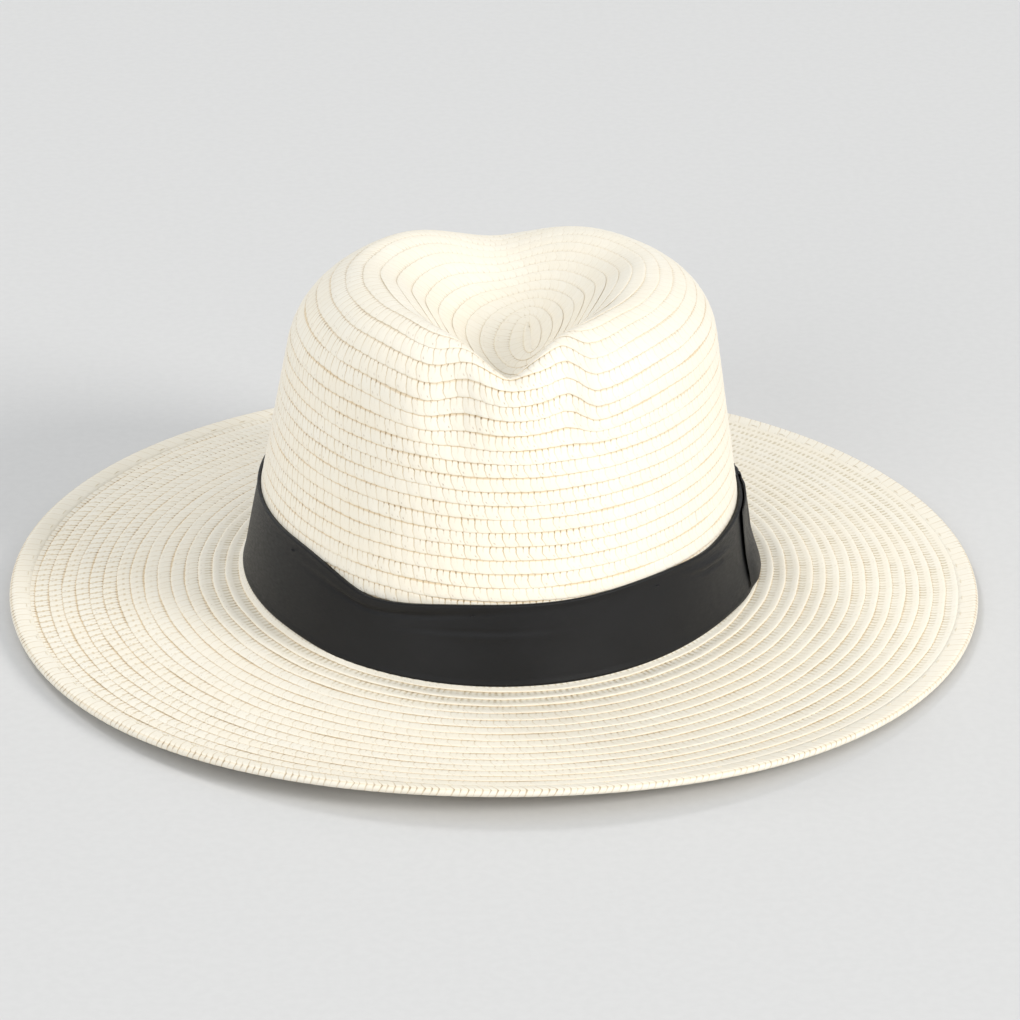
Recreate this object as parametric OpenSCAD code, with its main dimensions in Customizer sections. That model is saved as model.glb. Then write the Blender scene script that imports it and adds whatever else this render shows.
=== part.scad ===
// Panama-style fedora: a sewn straw crown with a V dent, a wide brim with a
// turned and wired edge, a cloth band with a flat bow, and a sweatband inside.
// Millimetres. Z is up, the front of the hat faces -Y, the bow is on +X.
// Zero is on the ground under the middle of the brim.

/* [Head] */
// Half-width of the crown at the head line, side to side
head_half_width = 87.7; // [80:0.1:96]
// Half-length of the crown at the head line, front to back
head_half_length = 98.3; // [92:0.1:108]
// Height of the head line over the ground at the two sides
head_rise_side = 11; // [9:0.5:18]
// Height of the head line over the ground at the front and the back
head_rise_front = 8; // [7:0.5:16]
// Thickness of the sewn straw
straw_t = 1.6; // [1:0.1:2.4]

/* [Crown] */
// Height of the undented crown over the head line
tip_height = 108.5; // [95:0.5:125]
// Lean of the crown's wall from upright, in degrees
wall_lean = 9.4; // [4:0.1:13]
// Radius of the turn from wall to tip at the sides and the back
shoulder_r = 32; // [24:0.5:40]
// How much tighter that turn is in front
front_tighter = 10; // [0:0.5:12]
// How much tighter it is on the +X side
bow_side_tighter = 5; // [0:0.5:8]
// Fall of the tip from front to back, in millimetres for each millimetre
tip_fall = 0.05; // [0:0.01:0.1]
// Lean of the whole crown towards +X, in millimetres for each millimetre up
side_lean = 0.03; // [0:0.005:0.05]

/* [Dent] */
// Depth of the dent at its lowest place
dent_depth = 28; // [16:0.5:34]
// How far the dent's floor rises from there to the front lip
front_lip_rise = 19; // [4:0.5:22]
// How far the dent's floor rises from there to the back lip
back_lip_rise = 14; // [4:0.5:24]
// Steepness of the dent's sides in front
front_side_slope = 1.15; // [0.6:0.05:1.3]
// Steepness of the dent's sides in the middle
middle_side_slope = 1.2; // [0.8:0.05:1.4]
// Steepness of the dent's sides behind
back_side_slope = 0.7; // [0.6:0.05:1.4]
// How far the two front corners are pinched in
pinch = 5; // [0:0.5:8]

/* [Brim] */
// Width of the brim from the head line to its edge
brim_w = 81; // [50:1:110]
// How far the front of the brim lifts at its edge
front_lift = 7; // [0:0.5:12]
// How far the edge curls up at the back of one side
edge_curl = 1.6; // [0:0.2:3]
// Width of the last row where it is turned round the edge
edge_turn_w = 6.5; // [5:0.5:9]
// Diameter of the wire inside the edge
wire_d = 1.3; // [0.8:0.1:1.5]

/* [Cloth band] */
// Height of the band's top edge on the crown
band_h = 28; // [18:0.5:40]
// Thickness of the band's cloth
band_t = 0.8; // [0.5:0.1:1.2]
// How far the band's top edge sags at the front left
band_sag = 3.5; // [0:0.5:5]
// How much higher the band sits on the side without the bow
band_left_rise = 3.5; // [0:0.5:5]

/* [Bow] */
// Place of the bow round the crown, in degrees from +X towards the back
bow_angle = 10; // [-10:1:20]
// Length of the bow's upper loop
bow_len = 86; // [60:1:100]
// Height of the bow
bow_h = 27; // [18:0.5:32]
// Thickness of the bow's cloth
bow_t = 0.3; // [0.25:0.05:0.5]
// How far the upper loop flares away from the band along its lower border
bow_flare = 2.1; // [0:0.1:3]
// Width of the wrap round the bow's middle
keeper_w = 13; // [8:1:18]

/* [Inside] */
// Height of the sweatband
sweat_h = 27; // [20:0.5:34]
// Thickness of the sweatband
sweat_t = 0.8; // [0.6:0.1:1.2]

/* [Thread] */
// Diameter of the sewing thread
thread_d = 0.5; // [0.3:0.05:0.6]
// Number of stitches round the sweatband
sweat_stitches = 60; // [40:4:80]
// Number of stitches round the brim's edge
edge_stitches = 80; // [60:4:100]

/* [Show] */
// Sub-part to show

/* [Hidden] */
cols = 80;                                // columns round the band and the sweatband
crown_cols = 88;                          // columns round the crown, closer together in front
brim_cols = 80;                           // columns round the brim
rings = 29;                               // rings from the head line to the tip
wall_rings = 6;                           // how many of them lie on the plain part of the wall
gap = 0.1;                                // clearance between soft pieces
edge_over = 0.8;                          // how far the turned row stands over the brim
crown_dx = 0.8;                           // the crown sits a little towards +X
tip_shift = 8.5;                          // the coil's start lies towards +X
axis_dx = 3.6;                            // middle line of the dent, over the head's middle
axis_dx_front = 1.2;                      // and at its front
pitch = 4.7;                              // width that shows of each straw row
rows = 36;                                // rows from the head line to the coil's start
edge_rise = 1.2 + straw_t / 2;            // middle of the brim's edge over the ground
brim_half_width = head_half_width + brim_w;
brim_half_length = head_half_length + brim_w;
band_in = 0.3;                            // inner face of the band, off the crown
band_out = band_in + band_t;
sweat_out = straw_t + 0.4;                // outer face of the sweatband, inside the crown
sweat_in = sweat_out + sweat_t;
keeper_in = band_out + gap;
under_in = keeper_in + bow_t + gap;
loop_gap = 0.1;
under_mid = under_in + bow_t + loop_gap;
upper_in = under_mid + bow_t + gap;
upper_mid = upper_in + bow_t + loop_gap;
keeper_out = upper_mid + bow_t + gap;

// ---- small helpers ----
function smooth(x, a, b) = let (u = min(1, max(0, (x - a) / (b - a)))) u * u * (3 - 2 * u);
function blend(a, b, u) = a + (b - a) * u;
function smooth_min(a, b, k) =
    let (u = min(1, max(0, 0.5 + 0.5 * (b - a) / k))) b + (a - b) * u - k * u * (1 - u);
function unit(v) = v / norm(v);
function turn_of(t) = let (w = (t % 360 + 540) % 360 - 180) w;

// ---- the crown's surface ----
function head_z(t) =
    (head_rise_side + head_rise_front) / 2 + (head_rise_side - head_rise_front) / 2 * cos(2 * t);
function shoulder(t) =
    shoulder_r - front_tighter * pow(max(0, -sin(t)), 2) - bow_side_tighter * pow(max(0, cos(t)), 2);
function wall_h(t) = tip_height - shoulder(t) * (1 - sin(wall_lean));
function wall_len(t) = wall_h(t) / cos(wall_lean);
function arc_mid(t) = -wall_len(t) * sin(wall_lean) - shoulder(t) * cos(wall_lean);
function full_len(t) =
    wall_len(t) + shoulder(t) * (90 - wall_lean) * PI / 180 + head_half_width + arc_mid(t);

// Outline of the undented crown: [inwards from the head line, up] after a way s up it.
function wall_pt(s) = [-s * sin(wall_lean), s * cos(wall_lean)];
function tip_pt(s, t) =
    let (r = shoulder(t), a = (s - wall_len(t)) / r * 180 / PI, b = min(a, 90 - wall_lean))
    [arc_mid(t) + r * cos(wall_lean + b) - max(0, a - b) * PI / 180 * r,
        wall_h(t) + r * (sin(wall_lean + b) - sin(wall_lean))];
function outline(s, t) = s < wall_len(t) ? wall_pt(s) : tip_pt(s, t);

// The dent's floor: a valley that runs front to back, V-shaped in front and rounder behind.
function floor_h(y) =
    tip_height - dent_depth + front_lip_rise * smooth(-y, 30, 82) + back_lip_rise * smooth(y, 0, 62);
function valley(x, y) =
    let (f = smooth(-y, 5, 60), r = blend(14, 4, f),
         middle = blend(middle_side_slope, back_side_slope, smooth(y, -25, 35)),
         k = blend(middle, front_side_slope, f),
         u = x - blend(axis_dx, axis_dx_front, smooth(-y, 20, 80)))
    floor_h(y) + k * (sqrt(u * u + r * r) - r);

function pinch_at(x, y, h) =
    let (u = x - axis_dx_front, q = (abs(u) - 18) / 9, w = blend(0.65, 1, smooth(u, -10, 10)))
    pinch * w * exp(-q * q) * smooth(-y, 45, 80) * smooth(h, 62, 88);

function crown_pt(s, t) =
    let (o = outline(s, t), in = head_half_width + o[0], h = o[1],
         x = in * cos(t) + tip_shift * smooth(-o[0], 45, head_half_width) + crown_dx + side_lean * h,
         y = (in + head_half_length - head_half_width) * sin(t),
         high = h - tip_fall * y * smooth(h, 60, 105),
         dented = h < 45 ? h : smooth_min(high, valley(x, y), 10),
         base = blend(head_z(t), head_rise_side, smooth(h, 0, 90)))
    [x, y + pinch_at(x, y, h), base + dented];

function crown_normal(s, t) =
    let (a = crown_pt(s + 0.4, t) - crown_pt(s - 0.4, t), b = crown_pt(s, t + 0.4) - crown_pt(s, t - 0.4))
    unit(cross(b, a));
function crown_off(s, t, d) = crown_pt(s, t) + d * crown_normal(s, t);

// Way up the outline for each ring, so that the straw rows are evenly wide on the dented surface.
samples = 90;
function way_table(t) =
    let (n = full_len(t), p = [for (i = [0:samples]) crown_pt(n * i / samples, t)],
         d = [for (i = [0:samples]) i == 0 ? 0 : norm(p[i] - p[i - 1])])
    [for (i = 0, a = 0; i <= samples; a = a + (i < samples ? d[i + 1] : 0), i = i + 1) [a, n * i / samples]];
function row_way(f, table) =
    let (all = table[samples][0], ref = rows * pitch)
    lookup(ref * f + (all - ref) * smooth(f, 0.45, 1), table);

// ---- the brim's middle surface, v from 0 at the head line to 1 at the edge ----
function curl(v, t) = let (q = turn_of(t - 165) / 45) edge_curl * smooth(v, 0.88, 1) * exp(-q * q);
function lift(t) = let (q = turn_of(t + 95) / 43) front_lift * exp(-q * q);
function brim_mid(v, t) =
    let (a = crown_off(-straw_t / 2, t, gap),
         x = blend(a[0], brim_half_width * cos(t), v),
         y = blend(a[1], brim_half_length * sin(t), v),
         down = pow(max(0, 1 - v / 0.97), 1.2))
    [x, y, edge_rise + (head_z(t) - straw_t / 2 - edge_rise) * down
        + lift(t) * pow(max(v, 0), 3) + curl(v, t)];
function brim_off(u, n, t) = brim_mid(1 + u / brim_w, t) + [0, 0, n];

// ---- closed solids from lists of outlines ----
// A ring: each section is a closed outline, and the last section joins the first.
module ring_solid(sections) {
    n = len(sections);
    m = len(sections[0]);
    pts = [for (s = sections) each s];
    faces = [for (j = [0:n - 1], i = [0:m - 1])
        let (k = (j + 1) % n, l = (i + 1) % m)
        each [[j * m + i, k * m + i, k * m + l], [j * m + i, k * m + l, j * m + l]]];
    polyhedron(points = pts, faces = faces, convexity = 10);
}

// A cap: two skins of rings that close at a middle point, joined along the first ring.
module cap_solid(outer, inner, outer_tip, inner_tip) {
    n = len(outer);
    m = len(outer[0]);
    size = n * m;
    pts = concat([for (r = outer) each r], [for (r = inner) each r], [outer_tip, inner_tip]);
    skin = [for (i = [0:n - 2], j = [0:m - 1])
        let (k = (j + 1) % m)
        each [[i * m + j, (i + 1) * m + j, (i + 1) * m + k], [i * m + j, (i + 1) * m + k, i * m + k]]];
    lining = [for (f = skin) [size + f[2], size + f[1], size + f[0]]];
    rim = [for (j = [0:m - 1])
        let (k = (j + 1) % m)
        each [[j, k, size + k], [j, size + k, size + j]]];
    top = [for (j = [0:m - 1]) [(n - 1) * m + j, 2 * size, (n - 1) * m + (j + 1) % m]];
    under = [for (j = [0:m - 1]) [size + (n - 1) * m + (j + 1) % m, 2 * size + 1, size + (n - 1) * m + j]];
    polyhedron(points = pts, faces = concat(skin, lining, rim, top, under), convexity = 10);
}

// A straight piece of thread between two points.
module thread(a, b) {
    v = b - a;
    turn = atan2(v[1], v[0]);
    tilt = acos(v[2] / norm(v));
    translate(a) rotate([0, tilt, turn]) cylinder(d = thread_d, h = norm(v), $fn = 8);
}

// ---- straw ----
module crown() {
    last = 0.975;
    bare = 0.40;
    turns = [for (j = [0:crown_cols - 1]) let (a = 360 * j / crown_cols) a - 90 - 24 * sin(a)];
    ways = [for (t = turns) way_table(t)];
    function part_way(i) =
        i <= wall_rings ? bare * (i - 1) / (wall_rings - 1)
                        : bare + (last - bare) * (i - wall_rings) / (rings - wall_rings);
    function way(i, j) = i == 0 ? -straw_t : i == 1 ? 0 : row_way(part_way(i), ways[j]);
    columns = [0:crown_cols - 1];
    outer = [for (i = [0:rings]) [for (j = columns) crown_pt(way(i, j), turns[j])]];
    inner = [for (i = [0:rings]) [for (j = columns) crown_off(way(i, j), turns[j], -straw_t)]];
    tip = crown_pt(full_len(90) - 0.01, 90) + crown_pt(full_len(270) - 0.01, 270);
    color("ivory") cap_solid(outer, inner, tip / 2, tip / 2 - [0, 0, straw_t]);
}

module brim() {
    steps = 7;
    last = 1 - 2.6 / brim_w;
    half = straw_t / 2;
    color("ivory") ring_solid([for (j = [0:brim_cols - 1])
        let (t = 360 * j / brim_cols)
        concat([for (i = [0:steps]) brim_mid(last * i / steps, t) + [0, 0, half]],
               [for (i = [0:steps]) brim_mid(last * (steps - i) / steps, t) - [0, 0, half]])]);
}

module brim_edge() {
    in = straw_t / 2 + gap;
    out = straw_t / 2 + edge_over;
    w = edge_turn_w;
    color("antiquewhite") ring_solid([for (j = [0:brim_cols - 1])
        let (t = 360 * j / brim_cols)
        [for (q = [[-w, out - 0.2], [-1.6, out], [0.2, out * 0.8], [0.8, 0],
                   [0.2, -out * 0.8], [-1.6, -out], [-w, 0.2 - out], [-w, -in],
                    [-1.4, -in], [-0.2, -0.4], [-0.2, 0.4], [-1.4, in], [-w, in]])
            brim_off(q[0], q[1], t)]]);
}

module edge_wire() {
    color("silver") ring_solid([for (j = [0:brim_cols - 1])
        [for (i = [0:5])
            brim_off(-1.3 + wire_d / 2 * cos(60 * i), -wire_d / 2 * sin(60 * i), 360 * j / brim_cols)]]);
}

module edge_stitching() {
    n = straw_t / 2 + edge_over + thread_d / 2 + 0.05;
    for (j = [0:edge_stitches - 1]) {
        t = 360 * j / edge_stitches;
        color("wheat") thread(brim_off(-edge_turn_w + 1.6, n, t), brim_off(-edge_turn_w + 1.6, n, t + 1.1));
    }
}

// ---- cloth band ----
// The left side runs from 0 at the front to 180 at the back, counted the way round over -X.
function left_turn(t) = ((-90 - t) % 360 + 360) % 360;
function on_left(t, a, b) = smooth(left_turn(t), a, b) * (1 - smooth(left_turn(t), 100, 160));
function band_low(t) = 0.35 + band_left_rise * 0.3 * on_left(t, 38, 58);
function band_top(t) =
    let (q = turn_of(t + 123))
    band_h + band_left_rise * on_left(t, 32, 60) - band_sag * exp(-pow(q / (q < 0 ? 11 : 16), 2));

module hat_band() {
    color("dimgray") ring_solid([for (j = [0:cols - 1])
        let (t = 360 * j / cols, a = band_low(t), c = band_top(t), b = (a + c) / 2)
        [for (q = [[a, band_in], [b, band_in], [c, band_in], [c, band_out], [b, band_out], [a, band_out]])
            crown_off(q[0], t, q[1])]]);
}

module band_tacks() {
    for (t = [-150, -100, -55, 50, 95, 145]) {
        s = band_top(t) - 1.8;
        d = band_out + thread_d / 2 + 0.05;
        color("black") thread(crown_off(s, t, d), crown_off(s, t + 1.4, d));
    }
}

// ---- bow: each loop is a strip closed on itself, held flat and gathered at its middle ----
bow_low = 0.3;
function bow_t_at(u, k) =
    bow_angle + u * (u < 0 ? 1 + 0.12 * (1 - k) : 1) / (head_half_length * PI / 180);

// Height on the crown of a way k of 0 to 1 up the bow, at u along it.
function bow_s_at(k, u, trim) =
    let (mid = bow_low + bow_h / 2, half = (bow_h / 2 - trim) * blend(0.80, 1, smooth(abs(u), 4, 24)))
    mid + half * (2 * k - 1);

// How far the upper loop's ends leave the band: they dip at the waist and flare along the lower border.
function flare_at(k, u) =
    let (far = abs(u) / (bow_len / 2), end = smooth(far, 0.82, 1), side = u < 0 ? 1 : 0.6)
    (bow_flare * blend(1, 0.5, end) * (1 - smooth(k, 0.05, 0.48)) * smooth(far, 0.2, 0.62)
     - 0.7 * blend(1, 0.1, end) * exp(-pow((k - 0.64) / 0.2, 2)) * smooth(far, 0.5, 0.6)) * side;

// Outline of a flat loop: [along, off] for a way k of 0 to 1 round it.
function loop_at(k, half, off0, off1) =
    let (a = 360 * k, c = cos(a), q = abs(c) < 0.02 ? 0 : sign(c) * pow(abs(c), 0.8))
    [half * q, (off0 + off1) / 2 + (off1 - off0) / 2 * sin(a)];

module bow_loop(len, off0, off1, trim, flared) {
    n = flared ? 60 : 48;
    up = flared ? 4 : 1;
    function lifted(k, p) =
        crown_off(bow_s_at(k, p[0], trim), bow_t_at(p[0], k), p[1] + (flared ? flare_at(k, p[0]) : 0));
    color("black") ring_solid([for (i = [0:n - 1])
        let (a = loop_at(i / n, len / 2, off0, off1),
             b = loop_at(i / n, len / 2 + bow_t, off0 - bow_t, off1 + bow_t))
        concat([for (k = [0:up]) lifted(k / up, b)], [for (k = [0:up]) lifted(1 - k / up, a)])]);
}

module bow_under_loop() {
    bow_loop(bow_len * 0.46, under_in + bow_t, under_mid, 1, false);
}

module bow_upper_loop() {
    bow_loop(bow_len, upper_in + bow_t, upper_mid, 0, true);
}

module bow_keeper() {
    n = 24;
    mid = bow_low + bow_h / 2;
    half = bow_h / 2 * 0.84 + 0.4;
    off = (keeper_in + bow_t + keeper_out) / 2;
    depth = (keeper_out - keeper_in - bow_t) / 2;
    wings = 4;
    function at(k, grow, u) =
        let (a = 360 * k, c = sign(cos(a)) * pow(abs(cos(a)), 0.4), s = sign(sin(a)) * pow(abs(sin(a)), 0.4))
        crown_off(mid + (half + grow) * c, bow_t_at(u, 1), off + (depth + grow) * s);
    color("black") ring_solid([for (i = [0:n - 1])
        concat([for (j = [0:wings]) at((i + 0.5) / n, bow_t, blend(keeper_w, -keeper_w, j / wings) / 2)],
               [for (j = [0:wings]) at((i + 0.5) / n, 0, blend(-keeper_w, keeper_w, j / wings) / 2)])]);
}

// ---- inside ----
module sweatband() {
    color("tan") ring_solid([for (j = [0:cols - 1])
        let (t = 360 * j / cols)
        [for (q = [[-1, -sweat_in], [sweat_h / 2, -sweat_in], [sweat_h, -sweat_in],
                   [sweat_h, -sweat_out], [sweat_h / 2, -sweat_out], [-1, -sweat_out]])
            crown_off(q[0], t, q[1])]]);
}

module sweatband_tape() {
    steps = 4;
    half = 4;
    low = sweat_in + gap;
    turns = [for (i = [0:steps]) blend(90 - half, 90 + half, i / steps)];
    function section(s) = concat([for (t = turns) crown_off(s, t, -low)],
                                 [for (i = [0:steps]) crown_off(s, turns[steps - i], -low - 0.6)]);
    a = section(0.5);
    b = section(sweat_h - 0.5);
    m = len(a);
    sides = [for (i = [0:m - 1]) let (l = (i + 1) % m) each [[m + l, l, i], [m + i, m + l, i]]];
    ends = [for (i = [0:steps - 1])
        let (p = i, q = i + 1, r = m - 2 - i, s = m - 1 - i)
        each [[q, r, s], [p, q, s], [m + r, m + q, m + p], [m + s, m + r, m + p]]];
    color("burlywood") polyhedron(points = concat(a, b), faces = concat(sides, ends), convexity = 4);
}

module sweatband_stitching() {
    d = -sweat_in - thread_d / 2 - 0.05;
    for (j = [0:sweat_stitches - 1]) {
        t = 360 * (j + 0.5) / sweat_stitches;
        if (abs(turn_of(t - 90)) > 8) {
            color("wheat") thread(crown_off(1.2, t, d), crown_off(1.2, t + 2, d));
        }
    }
}

crown();
brim();
brim_edge();
edge_wire();
edge_stitching();
hat_band();
band_tacks();
bow_under_loop();
bow_upper_loop();
bow_keeper();
sweatband();
sweatband_tape();
sweatband_stitching();
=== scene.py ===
import math
from types import SimpleNamespace

import bpy
import numpy as np
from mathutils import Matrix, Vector


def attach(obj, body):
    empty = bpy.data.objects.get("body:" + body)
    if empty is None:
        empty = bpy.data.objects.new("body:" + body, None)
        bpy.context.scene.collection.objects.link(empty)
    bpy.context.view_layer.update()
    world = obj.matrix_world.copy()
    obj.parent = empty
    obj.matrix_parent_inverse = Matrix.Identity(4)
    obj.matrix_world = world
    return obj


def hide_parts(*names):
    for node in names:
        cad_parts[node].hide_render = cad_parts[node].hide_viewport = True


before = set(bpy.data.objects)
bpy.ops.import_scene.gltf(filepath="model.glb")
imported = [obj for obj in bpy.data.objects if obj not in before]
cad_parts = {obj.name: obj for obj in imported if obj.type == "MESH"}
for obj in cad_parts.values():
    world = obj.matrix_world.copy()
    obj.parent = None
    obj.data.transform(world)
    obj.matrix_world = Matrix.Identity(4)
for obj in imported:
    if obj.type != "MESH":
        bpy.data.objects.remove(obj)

MM = 0.001

# ---- sizes, in millimetres, the same as in the CAD part ----
HEAD_A, HEAD_B = 87.7, 98.3          # half-width and half-length of the head oval
RISE_SIDE, RISE_FRONT = 11.0, 8.0    # head line over the ground
STRAW_T = 1.6                        # thickness of the sewn straw
TIP_H = 108.5                        # undented crown over the head line
WALL_LEAN = math.radians(9.4)
SHOULDER, FRONT_TIGHTER, BOW_SIDE_TIGHTER = 32.0, 10.0, 5.0
TIP_FALL, SIDE_LEAN, CROWN_DX, TIP_SHIFT = 0.05, 0.03, 0.8, 8.5
DENT, LIP_FRONT, LIP_BACK, DENT_DX, DENT_DX_FRONT = 28.0, 19.0, 14.0, 3.6, 1.2
SLOPE_FRONT, SLOPE_MID, SLOPE_BACK, PINCH = 1.15, 1.2, 0.7, 5.0
BRIM_W, FRONT_LIFT, EDGE_CURL = 81.0, 7.0, 1.6
EDGE_RISE = 1.2 + STRAW_T / 2
PITCH = 4.7                          # width that shows of each straw row
CROWN_ROWS = 36                      # rows from the coil's start to the head line
FIRST_ROW, LAST_ROW = -0.85, 51.7    # where the coil starts in the dent, and ends at the edge
CELL = 4.4                           # length of one plait of the braid

# ---- the hat's surface ----


def smooth(x, a, b):
    """Smooth step from 0 at a to 1 at b."""
    u = np.clip((x - a) / (b - a), 0, 1)
    return u * u * (3 - 2 * u)


def smooth_min(a, b, k):
    """The smaller of two values, rounded over a width k where they meet."""
    u = np.clip(0.5 + 0.5 * (b - a) / k, 0, 1)
    return b + (a - b) * u - k * u * (1 - u)


def turn_from(t, degrees, width):
    """How near the turn t is to an angle, as a bell with the given half-width in degrees."""
    q = np.degrees((t - math.radians(degrees) + math.pi) % (2 * math.pi) - math.pi)
    return np.exp(-(q / width) ** 2)


def uneven_bell(t, degrees, before, after):
    """As turn_from, with one half-width before the angle and another after it."""
    q = np.degrees((t - math.radians(degrees) + math.pi) % (2 * math.pi) - math.pi)
    return np.exp(-(q / np.where(q < 0, before, after)) ** 2)


def head_z(t):
    """Height of the head line over the ground."""
    return (RISE_SIDE + RISE_FRONT) / 2 + (RISE_SIDE - RISE_FRONT) / 2 * np.cos(2 * t)


def shoulder(t):
    """Radius of the turn from wall to tip: tighter in front and on the bow's side."""
    front, side = np.clip(-np.sin(t), 0, 1), np.clip(np.cos(t), 0, 1)
    return SHOULDER - FRONT_TIGHTER * front ** 2 - BOW_SIDE_TIGHTER * side ** 2


def wall(t):
    """Radius of the shoulder, and height and length of the wall below it."""
    r = shoulder(t)
    h = TIP_H - r * (1 - math.sin(WALL_LEAN))
    return r, h, h / math.cos(WALL_LEAN)


def full_len(t):
    """Way from the head line up over the undented crown to its middle."""
    r, _, n = wall(t)
    mid = -n * math.sin(WALL_LEAN) - r * math.cos(WALL_LEAN)
    return n + r * (math.pi / 2 - WALL_LEAN) + HEAD_A + mid


def outline(s, t):
    """Undented crown: (inwards from the head line, up), a way s up from the head line."""
    r, h, n = wall(t)
    a = np.maximum((s - n) / r, 0)
    b = np.minimum(a, math.pi / 2 - WALL_LEAN)
    mid = -n * math.sin(WALL_LEAN) - r * math.cos(WALL_LEAN)
    inwards = mid + r * np.cos(WALL_LEAN + b) - (a - b) * r
    up = h + r * (np.sin(WALL_LEAN + b) - math.sin(WALL_LEAN))
    on_wall = s < n
    return (np.where(on_wall, -s * math.sin(WALL_LEAN), inwards),
            np.where(on_wall, s * math.cos(WALL_LEAN), up))


def valley(x, y):
    """Height of the dent's floor and sides over the head line."""
    floor = TIP_H - DENT + LIP_FRONT * smooth(-y, 30, 82) + LIP_BACK * smooth(y, 0, 62)
    f = smooth(-y, 5, 60)
    r = 14 + (4 - 14) * f
    middle = SLOPE_MID + (SLOPE_BACK - SLOPE_MID) * smooth(y, -25, 35)
    k = middle + (SLOPE_FRONT - middle) * f
    u = x - DENT_DX + (DENT_DX - DENT_DX_FRONT) * smooth(-y, 20, 80)
    return floor + k * (np.sqrt(u * u + r * r) - r)


def pinch_at(x, y, h):
    """How far the crown is pinched in at its two front corners."""
    u = x - DENT_DX_FRONT
    deep = PINCH * (0.65 + 0.35 * smooth(u, -10, 10))
    across = np.exp(-((np.abs(u) - 18) / 9) ** 2)
    return deep * across * smooth(-y, 45, 80) * smooth(h, 62, 88)


def crown_pt(s, t):
    """A point of the dented crown, a way s up from the head line at the turn t."""
    inwards, h = outline(s, t)
    reach = HEAD_A + inwards
    x = reach * np.cos(t) + TIP_SHIFT * smooth(-inwards, 45, HEAD_A) + CROWN_DX + SIDE_LEAN * h
    y = (reach + HEAD_B - HEAD_A) * np.sin(t)
    high = h - TIP_FALL * y * smooth(h, 60, 105)
    dented = np.where(h < 45, h, smooth_min(high, valley(x, y), 10.0))
    base = head_z(t) + (RISE_SIDE - head_z(t)) * smooth(h, 0, 90)
    return np.stack([x, y + pinch_at(x, y, h), base + dented], axis=-1)


def unit(v):
    """Vectors scaled to length 1."""
    return v / np.maximum(np.linalg.norm(v, axis=-1, keepdims=True), 1e-9)


def crown_off(s, t, d):
    """A point of the crown, moved out by d."""
    s, t, d = np.broadcast_arrays(*(np.asarray(v, float) for v in (s, t, d)))
    e = 0.4
    a = crown_pt(s + e, t) - crown_pt(s - e, t)
    b = crown_pt(s, t + 0.007) - crown_pt(s, t - 0.007)
    return crown_pt(s, t) + d[..., None] * unit(np.cross(b, a))


def lift(t):
    """How far the brim's edge rises in front."""
    q = np.degrees((t + math.radians(95) + math.pi) % (2 * math.pi) - math.pi) / 43
    return FRONT_LIFT * np.exp(-q * q)


def curl(v, t):
    """How far the brim's outermost rows curl up behind on the -X side."""
    q = np.degrees((t - math.radians(165) + math.pi) % (2 * math.pi) - math.pi) / 45
    return EDGE_CURL * smooth(v, 0.88, 1) * np.exp(-q * q)


def brim_pt(v, t):
    """The brim's upper face, v from 0 at the head line to 1 at the edge."""
    a = crown_pt(np.zeros_like(t), t)
    v1 = np.maximum(v, 0)
    x = a[..., 0] + ((HEAD_A + BRIM_W) * np.cos(t) - a[..., 0]) * v
    y = a[..., 1] + ((HEAD_B + BRIM_W) * np.sin(t) - a[..., 1]) * v
    edge = EDGE_RISE + STRAW_T / 2
    down = np.maximum(0, 1 - v / 0.97) ** 1.2
    z = edge + (head_z(t) - edge) * down + lift(t) * v1 ** 3 + curl(v, t)
    return np.stack([x, y, z], axis=-1)


class Ways:
    """Way up the outline for each row, so that the rows are evenly wide on the dented surface."""

    def __init__(self, turns=360, steps=20):
        self.turns, self.steps = turns, steps
        fr = np.arange(CROWN_ROWS * steps + 1) / (CROWN_ROWS * steps)
        table = []
        for j in range(turns):
            t = 2 * math.pi * j / turns
            s = np.linspace(0, float(full_len(t)), 241)
            p = crown_pt(s, np.full_like(s, t))
            d = np.concatenate([[0], np.cumsum(np.linalg.norm(np.diff(p, axis=0), axis=1))])
            ref = CROWN_ROWS * PITCH
            table.append(np.interp(ref * fr + (d[-1] - ref) * smooth(fr, 0.45, 1), d, s))
        self.table = np.array(table)

    def __call__(self, up, t):
        """up is the number of rows up from the head line."""
        a = (t / (2 * math.pi) % 1) * self.turns
        i = np.floor(a).astype(int)
        u = a - i
        b = np.clip(up * self.steps, 0, CROWN_ROWS * self.steps - 1e-6)
        k = np.floor(b).astype(int)
        v = b - k
        i0, i1 = i % self.turns, (i + 1) % self.turns
        low = self.table[i0, k] * (1 - u) + self.table[i1, k] * u
        high = self.table[i0, k + 1] * (1 - u) + self.table[i1, k + 1] * u
        return low * (1 - v) + high * v


ways = Ways()


def row_wave(up, t):
    """The rows ride up beside the front lip and sag under its two corners. In rows."""
    rise = turn_from(t, -76.5, 4.6) + 0.6 * turn_from(t, -103, 5.5)
    sag = uneven_bell(t, -68, 5.5, 14) + 0.6 * uneven_bell(t, -115, 12, 7)
    return (0.42 * rise - 0.74 * sag) * smooth(up, 16, 20.5) * (1 - smooth(up, 26, 31))


def raw_pt(row, t):
    """The hat's outer face. row counts from the coil's start, past the head line, to the edge."""
    up = CROWN_ROWS - row
    past = np.maximum(-row, 0) * PITCH
    on_crown = crown_pt(ways(np.maximum(up + row_wave(up, t), 0), t) + past, t)
    on_brim = brim_pt(np.maximum(-up, 0) * PITCH / BRIM_W, t)
    return np.where((up >= 0)[..., None], on_crown, on_brim)


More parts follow.
